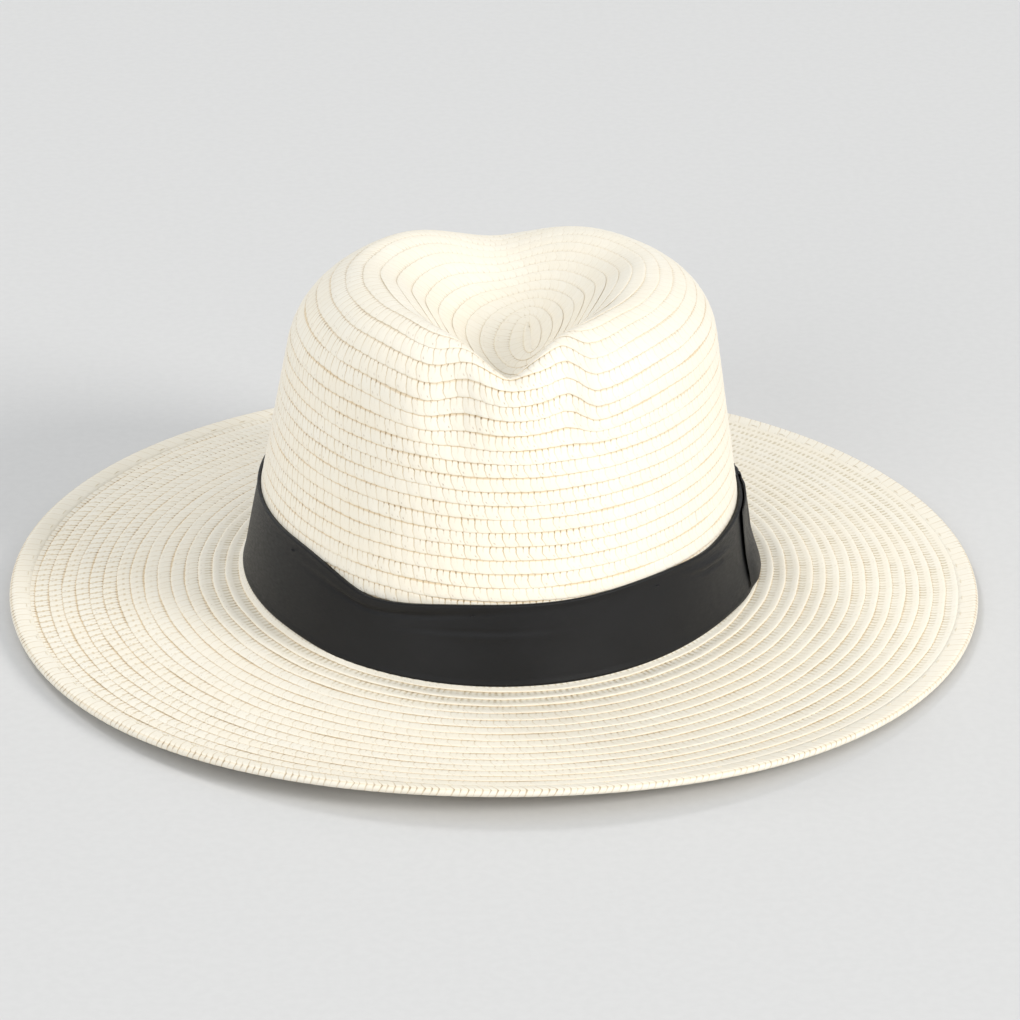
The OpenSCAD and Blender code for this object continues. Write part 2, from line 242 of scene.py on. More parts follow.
def hat_pt(row, t):
    """As raw_pt, with a small round where the wall turns into the brim."""
    d = 0.75 * np.exp(-((row - CROWN_ROWS) / 1.1) ** 2)
    return (raw_pt(row - d, t) + raw_pt(row + d, t) + 2 * raw_pt(row, t)
            + raw_pt(row - d / 2, t) + raw_pt(row + d / 2, t)) / 6


def hat_frame(row, t):
    """Point and outward direction of the hat's outer face."""
    e = 0.12
    r = np.maximum(row, 0.45)
    a = hat_pt(r - e, t) - hat_pt(r + e, t)
    b = hat_pt(r, t + 0.006) - hat_pt(r, t - 0.006)
    return hat_pt(row, t), unit(np.cross(b, a))


# ---- helpers for meshes ----


def volume(pts, face_sets):
    """Signed volume that closed faces enclose, positive when they face outwards."""
    total = 0.0
    for f in face_sets:
        for j in range(1, f.shape[1] - 1):
            a, b, c = pts[f[:, 0]], pts[f[:, j]], pts[f[:, j + 1]]
            total += np.einsum("ij,ij->", a, np.cross(b, c))
    return total / 6


def make_object(name, pts, face_sets, attrs=None):
    """A smooth mesh object from points in millimetres and arrays of faces, one row per face."""
    me = bpy.data.meshes.new(name)
    pts = np.asarray(pts, float).reshape(-1, 3) * MM
    me.vertices.add(len(pts))
    me.vertices.foreach_set("co", pts.astype(np.float32).ravel())
    face_sets = [np.asarray(f, np.int32) for f in face_sets]
    if volume(pts, face_sets) < 0:
        face_sets = [f[:, ::-1] for f in face_sets]
    corners = np.concatenate([f.ravel() for f in face_sets])
    totals = np.concatenate([np.full(len(f), len(f[0]), np.int32) for f in face_sets])
    me.loops.add(len(corners))
    me.loops.foreach_set("vertex_index", corners)
    me.polygons.add(len(totals))
    starts = np.concatenate([[0], np.cumsum(totals)[:-1]]).astype(np.int32)
    me.polygons.foreach_set("loop_start", starts)
    me.polygons.foreach_set("loop_total", totals)
    me.polygons.foreach_set("use_smooth", np.ones(len(totals), dtype=bool))
    me.update(calc_edges=True)
    me.validate()
    for key, values in (attrs or {}).items():
        a = me.attributes.new(key, "FLOAT_VECTOR", "POINT")
        a.data.foreach_set("vector", np.asarray(values, np.float32).ravel())
    ob = bpy.data.objects.new(name, me)
    bpy.context.scene.collection.objects.link(ob)
    return ob


def grid_faces(n, m, close_n=False, close_m=False):
    """Quads of a grid of n by m points, where the last row or column may join the first."""
    i = np.arange(n if close_n else n - 1)
    j = np.arange(m if close_m else m - 1)
    i, j = np.meshgrid(i, j, indexing="ij")
    k, l = (i + 1) % n, (j + 1) % m
    return np.stack([i * m + j, k * m + j, k * m + l, i * m + l], axis=-1).reshape(-1, 4)


def add_piece(ob, slot, material, *nodes):
    """Puts a finished piece in the frame, in place of the CAD nodes it stands for."""
    ob.data.materials.clear()
    ob.data.materials.append(material)
    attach(ob, "root")
    if nodes:
        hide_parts(*nodes)
    return ob


# ---- the straw braid ----
# One row is a flat plait. Its upper or inner border is tucked under the row before it, and its
# lower or outer border lies over the next row. c runs from -0.3 (tucked) to 1 (the free border).
TOP_C = np.array([-0.30, -0.06, 0.10, 0.30, 0.52, 0.72, 0.88, 0.97, 1.01])
TOP_D = np.array([-0.50, -0.28, -0.04, 0.01, 0.04, 0.07, 0.08, 0.03, -0.07])
RIB_D = np.array([-0.50, -0.38, -0.26, -0.20, 0.06, 0.26, 0.27, 0.16, -0.06])
LOW_C = np.array([0.96, 0.70, 0.25, -0.24])
LOW_D = np.array([-0.30, -0.40, -0.70, -0.95])
STEPS_PER_CELL = 5
SCALLOP = 0.05                       # wave of the free border, in rows
PILLOW = 0.13                        # how far the middle of a plait stands over its ends


def cell_bend(c):
    """How far the border between two plaits leans along the row on its way down."""
    return 0.42 * smooth(c, 0.35, 1.05) ** 1.3 - 0.06 * c


def spiral_rows(row0, row1):
    """Turn angles along the coil from one row count to another, one plait cut in equal steps."""
    coarse = np.linspace(row0, row1, int((row1 - row0) * 240) + 2)
    t = coarse * 2 * math.pi
    p = hat_pt(np.maximum(coarse + 0.5, 0.5), t)
    d = np.concatenate([[0], np.cumsum(np.linalg.norm(np.diff(p, axis=0), axis=1))])
    n = max(8, int(d[-1] / CELL * STEPS_PER_CELL))
    row = np.interp(np.linspace(0, d[-1], n + 1), d, coarse)
    return row, np.linspace(0, d[-1], n + 1) / CELL


def looseness(row, t):
    """From 0 to 1, how open the plaits lie: tight on the wearer's left, loose on the right."""
    crown = 0.25 + 0.75 * turn_from(t, -95, 24) + 0.55 * turn_from(t, -170, 62)
    crown = crown * (0.35 + 0.65 * smooth(row, 9, 16))
    rim = smooth(row, 42, 50) * turn_from(t, -168, 38)
    brim = 0.22 + 0.78 * rim + 0.45 * turn_from(t, 150, 50) + 0.22 * turn_from(t, -80, 42)
    return np.clip(np.where(row < CROWN_ROWS, crown, brim), 0, 1)


def meshed(row, t):
    """From 0 to 1, how straight the joints run across a row: on the -X side they do."""
    on_brim = np.maximum(0.5 * turn_from(t, 180, 60), ladder(row, t))
    return np.where(row < CROWN_ROWS, turn_from(t, -172, 62) ** 0.7, on_brim)


def ladder(row, t):
    """From 0 to 1, where the outer rows on the wearer's right show bold joints like rungs."""
    return smooth(row, 41, 46) * turn_from(t, -174, 33)


def ribbing(row, t):
    """From 0 to 1, how far each row stands up as a rib along its free border."""
    right = turn_from(t, 25, 75)
    inner = 0.8 * (1 - smooth(row, CROWN_ROWS + 2, CROWN_ROWS + 4.5))
    return np.where(row < CROWN_ROWS, 0.0, np.maximum(right, inner))


def near_lip(row, t):
    """Where rows bunch and lift a little: under the dent's front lip, and low at the front left."""
    up = CROWN_ROWS - row
    lip = turn_from(t, -90, 17) * smooth(up, 13, 18) * (1 - smooth(up, 21.5, 24))
    low = turn_from(t, -133, 13) * smooth(up, 5, 6.5) * (1 - smooth(up, 8, 11))
    return np.maximum(lip, 0.6 * low)


def braid_sections(row, cell):
    """Points and braid coordinates of the coil's cross-sections, one section per row count."""
    c = np.concatenate([TOP_C, LOW_C])
    d = np.concatenate([TOP_D, LOW_D])
    top = np.arange(len(c)) < len(TOP_C)
    T = np.broadcast_to((row * 2 * math.pi)[:, None], (len(row), len(c)))
    U = np.broadcast_to(cell[:, None], T.shape)
    R = np.broadcast_to(row[:, None], T.shape)
    C = np.broadcast_to(c, T.shape)
    phase = U - cell_bend(C) * (1 - meshed(R, T)) - 0.18 * C * meshed(R, T)
    hump = np.abs(np.sin(math.pi * phase)) ** 0.5
    wander = 0.03 * np.sin(U * 0.37 + 1.3 * np.sin(U * 0.061)) + 0.015 * np.sin(U * 1.13)
    place = C + SCALLOP * smooth(C, 0.8, 1.0) * (hump - 0.6) + wander
    near, rib, loose = near_lip(R + C, T), ribbing(R + C, T), looseness(R + C, T)
    pillow = PILLOW * (hump - 0.62) * smooth(C, -0.05, 0.25) * (0.6 + 0.6 * loose)
    D = d + np.where(top, pillow * (1 + 0.9 * near), pillow * 0.3)
    ribbed = np.concatenate([RIB_D - TOP_D, np.zeros(len(LOW_C))])
    D = D + rib * ribbed + np.where(top, 0.30 * near * smooth(C, 0.2, 0.9), 0.0)
    P, N = hat_frame(np.maximum(R + place, -0.22), T)
    D = D - 0.5 * (1 - smooth(R + place, -0.25, 0.3))
    ident = np.floor(R) + 0.37 * np.sin(np.floor(R) * 12.9898)
    marks = np.where(R > CROWN_ROWS, ladder(R + C, T), near)
    attrs = {"braid": np.stack([phase, C, ident], axis=-1),
             "work": np.stack([loose, rib, marks], axis=-1)}
    return P + D[..., None] * N, attrs


def strip_object(name, pts, attrs):
    """A closed tube from its cross-sections, with a cap at either end."""
    n, m = pts.shape[:2]
    caps = np.stack([np.arange(m), (n - 1) * m + np.arange(m)[::-1]])
    sides = grid_faces(n, m, close_m=True)[:, ::-1]
    return make_object(name, pts.reshape(-1, 3), [sides, caps], attrs)


def braid(names, row0, row1, cell0=0.0):
    """Builds the coil between two row counts in as many pieces as there are names."""
    row, cell = spiral_rows(row0, row1)
    cell = cell + cell0
    pts, attrs = braid_sections(row, cell)
    cuts = np.linspace(0, len(row) - 1, len(names) + 1).astype(int)
    pieces = []
    for name, i, j in zip(names, cuts[:-1], cuts[1:]):
        part = {key: values[i:j + 1] for key, values in attrs.items()}
        pieces.append(strip_object(name, pts[i:j + 1], part))
    return pieces, cell[-1]


# ---- materials ----


class Nodes:
    """Short names for the node types that the materials use."""

    def __init__(self, name):
        self.mat = bpy.data.materials.new(name)
        self.mat.use_nodes = True
        self.tree = self.mat.node_tree
        self.shader = self.tree.nodes["Principled BSDF"]

    def put(self, kind, inputs=(), **props):
        """A new node with its properties set and its inputs fed."""
        n = self.tree.nodes.new(kind)
        for key, value in props.items():
            setattr(n, key, value)
        for key, value in dict(inputs).items():
            self.feed(n.inputs[key], value)
        return n

    def feed(self, socket, value):
        """Links an output to a socket, or sets a plain value on it."""
        if isinstance(value, bpy.types.NodeSocket):
            self.tree.links.new(value, socket)
        else:
            socket.default_value = value

    def math(self, op, *values, clamp=False):
        n = self.put("ShaderNodeMath", dict(enumerate(values)), operation=op, use_clamp=clamp)
        return n.outputs[0]

    def times(self, *values):
        """Product of all the values."""
        out = values[0]
        for value in values[1:]:
            out = self.math("MULTIPLY", out, value)
        return out

    def ramp(self, value, low, high, to_low=0.0, to_high=1.0):
        """Smooth change from to_low to to_high as value goes from low to high."""
        n = self.put("ShaderNodeMapRange", {0: value, 1: low, 2: high, 3: to_low, 4: to_high},
                     interpolation_type="SMOOTHSTEP")
        return n.outputs[0]

    def mix(self, amount, a, b):
        n = self.put("ShaderNodeMix", {0: amount, 6: a, 7: b}, data_type="RGBA")
        return n.outputs[2]

    def noise(self, vector, scale, detail=2.0):
        n = self.put("ShaderNodeTexNoise", {"Vector": vector, "Scale": scale, "Detail": detail})
        return n.outputs["Fac"]

    def scaled(self, vector, x, y, z):
        n = self.put("ShaderNodeVectorMath", {0: vector, 1: (x, y, z)}, operation="MULTIPLY")
        return n.outputs[0]

    def joined(self, x, y, z):
        return self.put("ShaderNodeCombineXYZ", {0: x, 1: y, 2: z}).outputs[0]

    def named(self, attribute):
        """A vector stored on the mesh, and its three parts."""
        a = self.put("ShaderNodeAttribute", attribute_name=attribute)
        parts = self.put("ShaderNodeSeparateXYZ", {0: a.outputs["Vector"]})
        return a.outputs["Vector"], parts.outputs

    def bump(self, height, strength, distance):
        n = self.put("ShaderNodeBump",
                     {"Height": height, "Strength": strength, "Distance": distance})
        self.tree.links.new(n.outputs[0], self.shader.inputs["Normal"])

    def finish(self, **uniform):
        """Sets the shader's uniform values and gives back the material."""
        for key, value in uniform.items():
            self.shader.inputs[key.replace("_", " ")].default_value = value
        return self.mat


def srgb(r, g, b):
    """Linear colour from display values of 0 to 255."""
    out = [c / 255 / 12.92 if c <= 10 else ((c / 255 + 0.055) / 1.055) ** 2.4 for c in (r, g, b)]
    return (*out, 1.0)


FULL_TURN = 6.2832
STRAW_PALE, STRAW_WARM, STRAW_DEEP = srgb(244, 238, 224), srgb(245, 237, 220), srgb(238, 230, 211)
STRAW_FIBRE = srgb(226, 214, 188)
# Painted shade along the border where a row comes out from under the one before, in a paler and a
# deeper tone.
ROW_SHADE_PALE, ROW_SHADE_DEEP = srgb(224, 192, 132), srgb(206, 168, 102)
# The lip colour is painted shade on each row's rolled free border.
DASH_TAN, LIP_SHADE_TAN = srgb(198, 184, 152), srgb(236, 214, 172)
# The hole colour is painted shade seen through small holes.
JOINT_TAN, HOLE_SHADE_BROWN = srgb(198, 172, 124), srgb(134, 98, 52)


def distance_to_whole(k, value):
    """From 0 on a whole number to 0.5 midway."""
    saw = k.math("FRACT", value)
    return k.math("SUBTRACT", 0.5, k.math("ABSOLUTE", k.math("SUBTRACT", saw, 0.5)))


def chance_of(k, value, ident):
    """One random number for each whole step of value in a row."""
    cell = k.joined(k.math("FLOOR", value), ident, 0.0)
    return k.put("ShaderNodeTexWhiteNoise", {"Vector": cell}, noise_dimensions="3D").outputs[0]


def straw_values(k):
    """What the marks in the straw depend on: their place on a plait, and its place on the hat."""
    w = SimpleNamespace()
    w.vector, (u, w.c, w.ident) = k.named("braid")
    _, (loose, w.rib, marks) = k.named("work")
    w.on_brim = k.ramp(w.ident, 35.2, 36.2)
    w.rungs = k.times(marks, w.on_brim)
    w.dense = k.math("SUBTRACT", marks, w.rungs)
    wobble = k.noise(k.scaled(w.vector, 0.9, 1.9, 1.0), 1.0, 3.0)
    u = k.math("ADD", u, k.times(k.math("SUBTRACT", wobble, 0.5), 0.30))
    double = k.times(u, 2.0)
    w.full, w.half = distance_to_whole(k, u), distance_to_whole(k, double)
    w.chance = chance_of(k, u, w.ident)
    w.half_chance = chance_of(k, double, w.ident)
    w.patch = k.noise(k.scaled(w.vector, 0.06, 0.0, 0.45), 1.0, 2.0)
    w.loose = k.times(loose, k.ramp(w.patch, 0.32, 0.62, 0.45, 1.15))
    return w


def straw_joints(k, w):
    """Joints of a plait: a long one at its end, a short one halfway, and the brim's rungs."""
    down = k.math("MAXIMUM", k.ramp(w.c, 0.25, 0.9, 1.0, 0.5), w.rungs)
    wide = k.math("ADD", 0.07, k.times(w.rungs, 0.09))
    ends = k.times(k.ramp(w.full, 0.012, wide, 1.0, 0.0), down, k.ramp(w.dense, 0.0, 1.0, 1.0, 0.55))
    fade_from = k.ramp(w.dense, 0.0, 1.0, 0.28, 0.40)
    fade_to = k.ramp(w.dense, 0.0, 1.0, 0.55, 0.85)
    short = k.times(k.ramp(w.half, 0.03, 0.15, 1.0, 0.0), k.ramp(w.c, fade_from, fade_to, 0.8, 0.0),
                    k.math("MAXIMUM", w.half_chance, w.dense))
    joint = k.times(k.math("MAXIMUM", ends, short), k.math("ADD", w.loose, 0.12),
                    k.math("SUBTRACT", 1.0, k.times(w.rib, 0.8)), k.ramp(w.rungs, 0.0, 1.0, 1.0, 0.72))
    off_middle = k.math("ABSOLUTE", k.math("SUBTRACT", w.c, 0.52))
    knot = k.times(k.ramp(off_middle, 0.05, 0.13, 1.0, 0.0), k.ramp(w.full, 0.10, 0.24, 1.0, 0.0))
    return k.math("MAXIMUM", joint, k.times(knot, w.rungs, 0.85))


def straw_hole_shade(k, w):
    """Painted shade of small holes under the row before, and of a few at the foot of a plait; the mesh
    has no holes.
    """
    top = k.times(k.ramp(w.half, 0.04, 0.20, 1.0, 0.0), k.ramp(w.c, 0.10, 0.22, 1.0, 0.0),
                  k.ramp(w.half_chance, 0.2, 0.9, 0.1, 1.0))
    foot = k.times(k.ramp(w.c, 0.66, 0.76), k.ramp(w.c, 0.78, 0.88, 1.0, 0.0),
                   k.ramp(w.half, 0.34, 0.46), k.ramp(w.half_chance, 0.55, 0.95, 0.0, 0.6))
    return k.times(k.math("MAXIMUM", top, foot), k.math("ADD", w.loose, 0.15, clamp=True))


def straw_dashes(k, w):
    """Beige dashes in the hollow beside a rib."""
    return k.times(k.ramp(w.half, 0.14, 0.36, 1.0, 0.0), k.ramp(w.c, 0.42, 0.60, 1.0, 0.0),
                   w.rib, k.ramp(w.half_chance, 0.1, 0.9, 0.35, 1.0))


def straw_row_shade(k, w):
    """Painted shade: a warm line where a row comes out from under the one before, faint near the
    coil's start.
    """
    on_rib = k.ramp(k.times(w.rib, w.on_brim), 0.2, 1.0, 1.0, 0.35)
    return k.times(k.ramp(w.c, 0.045, 0.135, 1.0, 0.0), k.ramp(w.patch, 0.3, 0.7, 0.95, 0.6),
                   k.ramp(w.ident, 9.0, 16.0, 0.18, 1.0), on_rib)


def straw_material():
    """Pale paper straw: flat plaits with thin tan joints and fine fibres, and painted shade in small
    holes, along each row's border and on its rolled free border.
    """
    k = Nodes("straw")
    w = straw_values(k)
    joint, hole_shade = straw_joints(k, w), straw_hole_shade(k, w)
    dash, row_shade = straw_dashes(k, w), straw_row_shade(k, w)
    # Painted shade on each row's rolled free border, where it turns down over the next row.
    lip = k.ramp(w.c, 0.965, 1.0)
    mottle = k.noise(k.scaled(w.vector, 0.11, 0.6, 2.0), 1.0, 3.0)
    fibre = k.noise(k.scaled(w.vector, 26.0, 2.2, 5.0), 1.0, 3.0)
    colour = k.mix(k.ramp(mottle, 0.3, 0.7), STRAW_PALE, STRAW_WARM)
    colour = k.mix(k.times(w.chance, 0.30), colour, STRAW_DEEP)
    colour = k.mix(k.times(k.ramp(fibre, 0.45, 0.75), 0.18), colour, STRAW_FIBRE)
    colour = k.mix(k.times(dash, 0.80), colour, DASH_TAN)
    # Painted shade along each row's border, in tan.
    colour = k.mix(k.times(row_shade, 0.58), colour, k.mix(w.chance, ROW_SHADE_PALE, ROW_SHADE_DEEP))
    colour = k.mix(k.times(lip, 0.35), colour, LIP_SHADE_TAN)
    colour = k.mix(k.times(joint, 0.74), colour, JOINT_TAN)
    # Painted shade in small holes, in brown.
    colour = k.mix(k.times(hole_shade, 0.80), colour, HOLE_SHADE_BROWN)
    k.feed(k.shader.inputs["Base Color"], colour)
    k.feed(k.shader.inputs["Roughness"], k.ramp(fibre, 0.3, 0.75, 0.52, 0.72))
    height = k.math("SUBTRACT", k.times(fibre, 0.3), k.times(joint, 0.8))
    height = k.math("SUBTRACT", height, k.math("ADD", hole_shade, k.times(row_shade, 0.6)))
    k.bump(k.math("SUBTRACT", height, k.times(dash, 0.5)), 0.5, 0.0002)
    return k.finish(Specular_IOR_Level=0.35, Sheen_Weight=0.05, Sheen_Roughness=0.5)


def thread_material(name, dark, light):
    """Twisted thread: the plies show as slanted stripes along it."""
    k = Nodes(name)
    vector, (u, c, _) = k.named("braid")
    twist = k.math("SINE", k.times(k.math("ADD", u, c), FULL_TURN))
    fuzz = k.noise(k.scaled(vector, 3.0, 3.0, 1.0), 1.0, 3.0)
    k.feed(k.shader.inputs["Base Color"],
           k.mix(k.times(k.ramp(twist, -0.8, 0.8), fuzz), dark, light))
    k.feed(k.shader.inputs["Roughness"], k.ramp(fuzz, 0.3, 0.7, 0.5, 0.75))
    k.bump(twist, 0.5, 0.00008)
    return k.finish(Specular_IOR_Level=0.3)


def cloth_material(name, dark, light, ribs, depth, rough, sheen):
    """Woven cloth. The named coordinates are along and across it, both in millimetres."""
    k = Nodes(name)
    vector, (u, v, _) = k.named("cloth")
    skew = k.math("ADD", k.times(u, ribs), k.times(v, ribs * 0.55))
    twill = k.math("SINE", k.times(skew, FULL_TURN))
    cross = k.math("SINE", k.times(v, FULL_TURN * ribs * 1.3))
    weave = k.times(k.math("ADD", k.times(cross, 0.6), twill), 0.5)
    slub = k.noise(k.scaled(vector, 0.35, 2.6, 1.0), 1.0, 4.0)
    mottle = k.noise(k.scaled(vector, 0.05, 0.08, 1.0), 1.0, 3.0)
    uneven = k.math("ADD", k.ramp(slub, 0.35, 0.7, 0.0, 0.3), k.ramp(mottle, 0.35, 0.65, 0.0, 0.3))
    shade = k.math("ADD", k.ramp(weave, -1.0, 1.0, 0.0, 0.45), uneven)
    k.feed(k.shader.inputs["Base Color"], k.mix(k.math("MINIMUM", shade, 1.0), dark, light))
    k.feed(k.shader.inputs["Roughness"], k.ramp(slub, 0.3, 0.7, rough - 0.06, rough + 0.08))
    k.bump(k.math("ADD", weave, k.times(slub, 0.5)), 0.5, depth)
    return k.finish(Specular_IOR_Level=0.26, Sheen_Weight=sheen, Sheen_Roughness=0.4)


def wire_material():
    """Springy brim wire: drawn steel with a thin lacquer and fine draw lines."""
    k = Nodes("edge_wire")
    place = k.put("ShaderNodeTexCoord").outputs["Object"]
    lines = k.noise(k.scaled(place, 900.0, 900.0, 9000.0), 1.0, 2.0)
    spots = k.noise(place, 420.0, 3.0)
    colour = k.mix(k.ramp(spots, 0.45, 0.7), srgb(176, 176, 172), srgb(138, 133, 124))
    k.feed(k.shader.inputs["Base Color"], colour)
    k.feed(k.shader.inputs["Roughness"], k.ramp(lines, 0.3, 0.7, 0.28, 0.46))
    k.bump(lines, 0.2, 0.00003)
    return k.finish(Metallic=0.9)


# ---- the brim's edge ----
# The fold's outline: how far each point is from the fitted edge, and how far off the middle.
EDGE_U = np.array([-6.5, -6.2, -5.2, -3.9, -2.6, -1.6, -0.7, 0.1, 0.6, 0.8,
                   0.6, 0.1, -0.7, -1.6, -2.6, -3.9, -5.2, -6.2, -6.5])
EDGE_N = np.array([0.55, 1.00, 1.22, 1.38, 1.48, 1.52, 1.48, 1.22, 0.75, 0.0,
                   -0.75, -1.22, -1.48, -1.52, -1.48, -1.38, -1.22, -1.00, -0.55])
INNER_U = np.array([-1.6, -0.5, -0.5, -1.6])
INNER_N = np.array([-0.50, -0.4, 0.4, 0.50])
EDGE_MID = 1.6                       # middle of the fold's round, inwards from the edge
EDGE_CELL = 4.7                      # length of one plait of the edge
EDGE_SLANT, EDGE_CREST = 0.75, 0.80  # lean of its joints, and where on the fold they turn back
EDGE_ROW = 90                        # row number that the straw's colours use for the edge


def brim_mid(v, t):
    """Middle of the straw at the brim, as the CAD part has it."""
    return brim_pt(v, t) - np.array([0, 0, STRAW_T / 2])


def edge_section(t, cell):
    """The braid folded over the edge: one slanted plait after another round the lip."""
    u0 = np.concatenate([EDGE_U, INNER_U])
    n0 = np.concatenate([EDGE_N, INNER_N])
    outer = np.arange(len(u0)) < len(EDGE_U)
    T = np.broadcast_to(t[:, None], (len(t), len(u0)))
    c = np.concatenate([np.linspace(0, 2, len(EDGE_U)), np.zeros(len(INNER_U))])
    C = np.broadcast_to(c, T.shape)
    past = C - EDGE_CREST
    over = np.where(past < 0, -past / EDGE_CREST, past / (2 - EDGE_CREST))
    phase = cell[:, None] + EDGE_SLANT * over
    hump = np.abs(np.sin(math.pi * phase)) ** 0.5
    pillow = np.where(outer, 0.10 * (hump - 0.75) * smooth(1 - np.abs(C - 1), 0.0, 0.15), 0.0)
    size = 1 + pillow / np.maximum(np.hypot(u0 + EDGE_MID, n0), 1.2)
    middle = brim_mid(1 + np.where(outer, (u0 + EDGE_MID) * size - EDGE_MID, u0) / BRIM_W, T)
    lipped = middle + np.stack([0 * C, 0 * C, n0 * np.where(outer, size, 1)], axis=-1)
    # c is lowest on the fold's crest, so the straw's painted row-border shade runs along it as a thin
    # line.
    return lipped, np.stack([phase, 0.05 + 0.90 * over, EDGE_ROW + 0 * C], axis=-1)


def brim_edge(name, material):
    """The braid folded round the edge, in a whole number of plaits."""
    fine = np.linspace(0, 2 * math.pi, 2001)
    p = brim_mid(np.ones_like(fine), fine)
    d = np.concatenate([[0], np.cumsum(np.linalg.norm(np.diff(p, axis=0), axis=1))])
    cells = round(d[-1] / EDGE_CELL)
    n = cells * STEPS_PER_CELL
    t = np.interp(np.arange(n) / n * d[-1], d, fine)
    pts, attr = edge_section(t, np.arange(n) / n * cells)
    m = pts.shape[1]
    work = np.full_like(attr, 0.35) * np.array([1.6, 0, 0])
    ob = make_object(name, pts.reshape(-1, 3), [grid_faces(n, m, close_n=True, close_m=True)],
                     {"braid": attr, "work": work})
    return add_piece(ob, "straw_edge", material, "brim_edge")


def thread_runs(name, runs, radius, slot, material, *nodes):
    """Short stitches: each run is a row of points that the thread follows."""
    sides, pts, attr, faces, caps = 6, [], [], [], []
    a = np.arange(sides) * 2 * math.pi / sides
    for k, run in enumerate(runs):
        run = np.asarray(run, float)
        n = len(run)
        along = unit(np.gradient(run, axis=0))
        side = unit(np.cross(along, np.array([0.0, 0.0, 1.0]) + 0.01 * along[::-1]))
        up = np.cross(side, along)
        taper = np.where((np.arange(n) == 0) | (np.arange(n) == n - 1), 0.55, 1.0) * radius
        round_it = np.cos(a)[:, None] * side[:, None] + np.sin(a)[:, None] * up[:, None]
        ring = run[:, None] + round_it * taper[:, None, None]
        base = len(pts) * sides
        faces.append(grid_faces(n, sides, close_m=True)[:, ::-1] + base)
        caps.append(np.stack([np.arange(sides), (n - 1) * sides + np.arange(sides)[::-1]]) + base)
        pts.extend(ring)
        d = np.linspace(0, 1, n) * np.linalg.norm(run[-1] - run[0]) / 0.9
        attr.extend(np.stack([np.broadcast_to(d[:, None], (n, sides)),
                              np.broadcast_to(a / (2 * math.pi), (n, sides)),
                              np.full((n, sides), float(k))], axis=-1))
    face_sets = [np.concatenate(faces), np.concatenate(caps)]
    ob = make_object(name, np.array(pts).reshape(-1, 3), face_sets, {"braid": np.array(attr)})
    return add_piece(ob, slot, material, *nodes)


# ---- the cloth pieces ----


def cloth_strip(name, outer, inner, cloth, closed=True):
    """A thin strip of cloth between two grids of points, along it then across it."""
    n, m = outer.shape[:2]
    pts = np.concatenate([outer, inner[:, ::-1]], axis=1)
    attr = np.concatenate([cloth, cloth[:, ::-1]], axis=1)
    sets = [grid_faces(n, 2 * m, close_n=closed, close_m=True)]
    if not closed:
        sets.append(np.stack([np.arange(2 * m)[::-1], (n - 1) * 2 * m + np.arange(2 * m)]))
    return make_object(name, pts.reshape(-1, 3), sets, {"cloth": attr})


BAND_H, BAND_SAG, LEFT_RISE = 28.0, 3.5, 3.5
BAND_IN, BAND_OUT = 0.3, 1.1         # how far its inner and outer face stand off the crown


def on_left(t, a, b):
    """From 0 to 1 along the side without the bow, counted from the front to the back."""
    way = (-90 - np.degrees(t)) % 360
    return smooth(way, a, b) * (1 - smooth(way, 100, 160))


def band_low(t):
    """Way up the crown of the band's lower border, which dips beside the bow."""
    return 0.35 - 0.9 * turn_from(t, -18, 8) + LEFT_RISE * 0.3 * on_left(t, 38, 58)


def band_top(t):
    """Way up the crown of the band's upper border."""
    sag = uneven_bell(t, -123, 11, 16)
    waves = turn_from(t, -57, 14) - 0.6 * turn_from(t, -36, 8)
    return BAND_H + LEFT_RISE * on_left(t, 32, 60) - BAND_SAG * sag + waves


def band_relief(K, T):
    """How far the band's face stands off the crown, K from 0 at its lower border to 1."""
    hem = 0.25 * smooth(K, 0.93, 0.97) + 0.18 * (1 - smooth(K, 0.02, 0.06))
    T = (T + math.pi) % (2 * math.pi) - math.pi
    slack_line = 0.85 + 0.002 * (np.degrees(T) + 118)
    slack = 0.90 * smooth(K, slack_line, slack_line + 0.05) * turn_from(T, -117, 20)
    slack -= 0.55 * np.exp(-((K - slack_line + 0.012) / 0.02) ** 2) * turn_from(T, -119, 18)
    crease = -0.40 * np.exp(-((K - 0.66) / 0.016) ** 2) * turn_from(T, -98, 13)
    crease += 0.18 * np.exp(-((K - 0.61) / 0.05) ** 2) * turn_from(T, -98, 15)
    drag_line = 0.78 - 0.0056 * (np.degrees(T) + 40)
    drag = -0.62 * np.exp(-((K - drag_line) / 0.022) ** 2) * turn_from(T, -35, 6)
    puff = 0.60 * np.exp(-((K - drag_line - 0.06) / 0.035) ** 2) * turn_from(T, -35, 8)
    lap = (0.6 + 1.6 * np.exp(-(K / 0.32) ** 2)) * turn_from(T, -15, 12) ** 0.5
    lap *= smooth(-np.degrees(T), -1, 8)
    wave = 0.10 * np.sin(4 * T + 2 * K) * np.sin(11 * T) * np.sin(math.pi * K)
    return BAND_OUT + hem + slack + crease + drag + puff + wave + lap


def hat_band(material):
    """Satin band: turned hems, a slack fold at the front left and two drag creases."""
    n, m = 900, 34
    t = np.arange(n) * 2 * math.pi / n
    T, K = np.meshgrid(t, np.linspace(0, 1, m), indexing="ij")
    S = band_low(T) + (band_top(T) - band_low(T)) * K
    outer = crown_off(S, T, band_relief(K, T))
    inner = crown_off(S, T, np.full_like(S, BAND_IN))
    cloth = np.stack([(HEAD_A + HEAD_B) / 2 * T, S, 0 * S], axis=-1)
    ob = cloth_strip("band_cloth", outer, inner, cloth)
    add_piece(ob, "band_cloth", material, "hat_band")
    return ob


